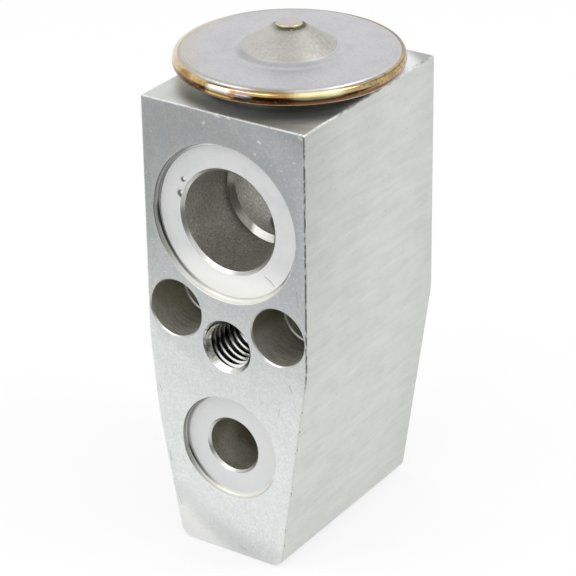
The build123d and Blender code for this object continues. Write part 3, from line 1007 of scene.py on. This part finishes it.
def valve_block():
    """The block with its ports, bolt holes, thread and upright bores."""
    piece = block_blank()
    suction = {
        "finishes": (suction_step, suction_seat, passage_wall), "seat_r": suction_seat_r,
        "bore_r": 7.8, "bevel": 0.5, "bore_depth": 12.2, "core": (0.65, 6.8, 17.7),
    }
    tools = [
        port_cutter("suction_front", (0, front, suction_z), TO_BACK, **suction),
        port_cutter("suction_back", (0, back, suction_z), TO_FRONT, **suction),
        port_cutter(
            "inlet", (0, front, inlet_z), TO_BACK, (inlet_step, inlet_seat, port_wall),
            liquid_seat_r, bore_r=4.2, bevel=0.4, bore_depth=11.3, core=(0.72, 3.0, 17.5),
        ),
        port_cutter(
            "outlet", (0, back, outlet_z), TO_FRONT, (outlet_step, outlet_seat, hole_wall),
            liquid_seat_r, bore_r=4.9, bevel=0.4, bore_depth=10.0, core=(1.44, 2.5, 19.5),
        ),
        bolt_cutter(-1), bolt_cutter(1), tap_cutter(), clamp_drill_cutter(), *axis_cutters(),
    ]
    for tool in tools:
        cut(piece, tool)
    return piece


seat_in_body(valve_block(), "root", "block_aluminium", "valve_body")


# Power head


def round_line(centre_r, centre_z, wide, high, start, end, steps):
    """Points round part of an oval, from one angle to another."""
    angles = [math.radians(start + (end - start) * step / steps) for step in range(steps + 1)]
    return [(centre_r + wide * math.cos(a), centre_z + high * math.sin(a)) for a in angles]


def head_cover():
    """Pressed cover: flat rim, raised pan, and a cone round the filling hole."""
    return turned("head_cover", [
        (16.4, 75.85),
        (16.1, 75.85, 0.08),
        (15.85, 76.1, 0.1),
        (8.1, 76.1, 0.7),
        (7.02, 76.66),
        (6.96, 76.73),
        (2.15, 79.9, 0.3),
        (1.22, 79.9),
        (1.22, 79.1),
        (1.9, 79.1, 0.2),
        (7.5, 75.3, 0.5),
        (15.85, 75.3, 0.1),
        (16.1, 75.05, 0.1),
        (16.4, 75.05),
        (16.4, 75.85),
    ], [(76.7, cover_metal), (TO_END, cone_metal)], steps=160)


def filling_plug():
    """Plug in the cone's hole, with its edge rounded by the weld."""
    return turned("filling_plug", [
        (0, 78.3), (1.2, 78.3), (1.2, 79.9), (1.98, 79.9), (1.92, 80.25, 0.14), (0, 80.25),
    ], plug_metal, steps=64)


def rim_bead():
    """The weld bead round the rim."""
    outline = [(16.2, 73.95), *round_line(16.45, 74.93, 0.55, 0.98, -84, 78, 14), (16.2, 75.85)]
    return turned("rim_bead", outline + outline[:1], bead_metal, steps=192)


def head_dish():
    """Pressed dish under the diaphragm, on the neck's flange."""
    return turned("head_dish", [
        (16.3, 74.9),
        (13.8, 74.9, 0.3),
        (12.6, 73.8, 0.3),
        (10.2, 73.8),
        (10.2, 73.0),
        (12.95, 73.0, 0.4),
        (14.15, 74.1, 0.4),
        (16.3, 74.1),
        (16.3, 74.9),
    ], cover_metal, steps=128)


def head_neck():
    """Turned neck that screws the head into the block."""
    return turned("head_neck", [
        (6.2, 65.0),
        (8.3, 65.0),
        (8.7, 65.4),
        (8.7, 72.0),
        (12.0, 72.0, 0.15),
        (12.0, 73.0),
        (6.2, 73.0),
        (6.2, 65.0),
    ], neck_metal)


def o_ring(name, centre_r, wire_r, z):
    """A rubber ring of round section."""
    section = round_line(centre_r, z, wire_r, wire_r, 0, 360, 20)
    return turned(name, section, rubber, steps=72)


seat_in_body(head_cover(), "root", "head_steel", "upper_cover")
seat_in_body(filling_plug(), "root", "plug_steel", "charge_plug")
seat_in_body(rim_bead(), "root", "weld_bead", "rim_weld")
seat_in_body(head_dish(), "root", "head_steel", "lower_cover")
seat_in_body(head_neck(), "root", "neck_steel", "threaded_neck")
seat_in_body(o_ring("neck_ring", 9.34, 0.6, 71.36), "root", "seal_rubber", "head_seal")
seat_in_body(o_ring("rod_ring", 2.6, 0.55, 44.67), "root", "seal_rubber", "rod_seal")
screw_ring = o_ring("screw_ring", 4.575, 0.585, 10.0)
seat_in_body(screw_ring, "adjuster_carriage", "seal_rubber", "screw_seal")


# Mechanism


def rod_across_the_passage():
    """Aluminium rod from the stop plate down to the push rod."""
    return turned("temperature_rod", [
        (0, 73.04), (1.7, 73.04), (2.0, 72.74), (2.0, 41.9), (1.7, 41.6), (1.22, 41.6),
        (1.22, 44.1), (0, 44.1),
    ], rod_metal, steps=72)


def ball_cradle():
    """Brass carrier: a cone for the ball, a flange on the spring and a guide stem."""
    return turned("ball_cradle", [
        (0, 18.62),
        (2.58, 21.2, 0.05),
        (3.1, 21.2, 0.1),
        (3.1, 18.62),
        (4.4, 18.62, 0.1),
        (4.4, 17.72, 0.1),
        (2.3, 17.72, 0.15),
        (2.3, 15.52),
        (1.9, 15.12),
        (0, 15.12),
    ], brass, steps=72)


def coil_half(name, upper):
    """One half of the coil of round spring wire under the carrier, parted at coil_middle."""
    turns, coil_r, wire_r = 3.5, 3.3, 0.4
    low, high = coil_foot + wire_r, coil_top - wire_r
    section = round_line(coil_r, low, wire_r, wire_r, 0, 360, 12)
    piece = draw_line([Vector((r, 0, z)) for r, z in section])
    join_doubles()
    leave_edit(piece, name)
    wind_up(piece, FULL_TURN * turns, high - low, 200)
    bpy.ops.mesh.select_all(action="SELECT")
    bpy.ops.mesh.fill_holes(sides=16)
    slice_off(coil_middle, upper, not upper)
    face_outwards()
    leave_edit(piece, name)
    piece.data.materials.append(spring_metal)
    return piece


def setting_screw():
    """Brass screw in the base, with a hexagon socket for the key."""
    piece = turned("setting_screw", [
        (0, 0.9),
        (5.2, 0.9),
        (5.7, 1.4),
        (5.7, 8.0),
        (5.15, 8.0),
        (5.15, 9.3, 0.1),
        (3.95, 9.3, 0.1),
        (3.95, 10.7, 0.1),
        (5.15, 10.7, 0.1),
        (5.15, 11.6, 0.2),
        (2.3, 11.6),
        (2.3, 12.4, 0.3),
        (0, 12.4),
    ], brass)
    half_key = 2.5
    bpy.ops.mesh.primitive_cylinder_add(
        vertices=6, radius=half_key / math.cos(math.radians(30)), depth=6, location=(0, 0, 2.9)
    )
    key = bpy.context.object
    leave_edit(key, "key_socket")
    bpy.ops.object.transform_apply(location=True, rotation=True, scale=True)
    key.data.materials.append(brass)
    cut(piece, key)
    return piece


seat_in_body(rod_across_the_passage(), "stem", "rod_aluminium", "sensing_rod")
seat_in_body(ball_cradle(), "stem", "carrier_brass", "ball_carrier")
coil_above, coil_below = coil_half("coil_above", True), coil_half("coil_below", False)
seat_in_body(coil_above, "root", "spring_steel", "superheat_spring")
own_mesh(coil_above)
seat_in_body(coil_below, None, "spring_steel", "superheat_spring")
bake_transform(coil_below)
seat_in_body(setting_screw(), "adjuster", "screw_brass", "adjusting_screw")

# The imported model's own pieces that still show, with the scene's finishes
kept_nodes = {
    "diaphragm": foil_metal, "stop_plate": neck_metal, "seal_washer": neck_metal,
    "seal_retainer": spring_metal, "push_rod": ball_metal, "valve_ball": ball_metal,
    "damping_spring": spring_metal,
}
for name, finish in kept_nodes.items():
    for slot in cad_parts[name].material_slots:
        slot.link = "OBJECT"
        slot.material = finish


# Studio


def lay_floor():
    """A wide pale floor that looks white and keeps the object's soft shadow."""
    bpy.ops.mesh.primitive_circle_add(vertices=64, radius=1.6, fill_type="NGON")
    floor = bpy.context.object
    floor.name = "floor"
    finish = bpy.data.materials.new("pale_floor")
    finish.use_nodes = True
    finish.node_tree.nodes.remove(shader_of(finish))
    path = node(finish, "LightPath").outputs
    seen = path["Is Camera Ray"]
    for ray in ("Is Glossy Ray", "Is Transmission Ray"):
        seen = node(finish, "Math", {0: seen, 1: path[ray]}, operation="MAXIMUM").outputs[0]
    glow = node(finish, "Emission", {"Color": (1, 1, 1, 1), "Strength": seen})
    paper = node(finish, "BsdfDiffuse", {"Color": (0.85, 0.85, 0.85, 1)})
    mixed = node(finish, "MixShader", {0: 0.7, 1: paper.outputs[0], 2: glow.outputs[0]})
    from_below = node(finish, "NewGeometry").outputs["Backfacing"]
    clear = node(finish, "BsdfTransparent")
    one_sided = node(finish, "MixShader", {0: from_below, 1: mixed.outputs[0], 2: clear.outputs[0]})
    surface = finish.node_tree.nodes["Material Output"].inputs["Surface"]
    finish.node_tree.links.new(one_sided.outputs[0], surface)
    floor.data.materials.append(finish)
    floor.location.z = -0.02 * MM


def light_world():
    """Even white surroundings."""
    world = bpy.data.worlds.new("studio")
    world.use_nodes = True
    world.node_tree.nodes["Background"].inputs["Color"].default_value = (1, 1, 1, 1)
    world.node_tree.nodes["Background"].inputs["Strength"].default_value = 1.0
    bpy.context.scene.world = world


def grey_sheet(name, length, width, dims):
    """A grey sheet, seen only in reflections. Its level follows the distance along it.

    The dims are two pairs of distance and level, and the level is even outside them.
    """
    bpy.ops.mesh.primitive_plane_add(size=1)
    sheet = bpy.context.object
    sheet.name = name
    sheet.scale = (length * MM, width * MM, 1)
    bpy.ops.object.transform_apply(scale=True)
    finish = bpy.data.materials.new(name)
    finish.use_nodes = True
    finish.node_tree.nodes.remove(shader_of(finish))
    (dim_from, high), (dim_to, low) = dims
    shade = node(finish, "MapRange", {
        "Value": along(finish, "X"), "To Min": high, "To Max": low,
        "From Min": dim_from - length / 2, "From Max": dim_to - length / 2,
    }, clamp=True)
    glow = node(finish, "Emission", {"Strength": shade.outputs["Result"]})
    surface = finish.node_tree.nodes["Material Output"].inputs["Surface"]
    finish.node_tree.links.new(glow.outputs[0], surface)
    sheet.data.materials.append(finish)
    sheet.visible_camera = sheet.visible_diffuse = False
    sheet.visible_shadow = sheet.visible_transmission = False
    return sheet


def floor_flag(name, turn, near, length, width, height, dims):
    """A grey sheet laid over the floor, pointing away from the object."""
    flag = grey_sheet(name, length, width, dims)
    flag.rotation_euler = (0, 0, math.radians(turn))
    centre = Vector((near + length / 2, 0, height)) * MM
    flag.location = flag.rotation_euler.to_matrix() @ centre


def standing_flag(name, turn, away, width, height):
    """A dark sheet that stands on the floor, facing the object."""
    flag = grey_sheet(name, height, width, ((height * 0.7, 0.2), (height, 0.7)))
    angle = math.radians(turn)
    flag.rotation_euler = (0, -math.pi / 2, angle)
    flag.location = Vector((away * math.cos(angle), away * math.sin(angle), height / 2)) * MM


def soft_box(name, centre, width, height, power):
    """An area lamp that points at the upper part of the block."""
    bpy.ops.object.light_add(type="AREA", location=Vector(centre) * MM)
    lamp = bpy.context.object
    lamp.name = name
    lamp.data.shape = "RECTANGLE"
    lamp.data.size = width * MM
    lamp.data.size_y = height * MM
    lamp.data.energy = power
    lamp.rotation_euler = (Vector(centre) - Vector((0, -10, 60))).to_track_quat("Z", "Y").to_euler()


bpy.context.scene.view_settings.view_transform = "Standard"
lay_floor()
light_world()
floor_flag(
    "front_flag", turn=-85, near=20, length=1400, width=1600, height=1,
    dims=((37, 1.13), (87, 0.31)),
)
floor_flag(
    "right_flag", turn=-38, near=45, length=1400, width=700, height=2,
    dims=((45, 0.9), (65, 0.14)),
)
standing_flag("horizon_flag", turn=-58, away=620, width=900, height=220)
soft_box("key_box", (-110, -281, 450), width=480, height=110, power=0.5)
soft_box("right_box", (297, 81, 434), width=150, height=150, power=0.45)
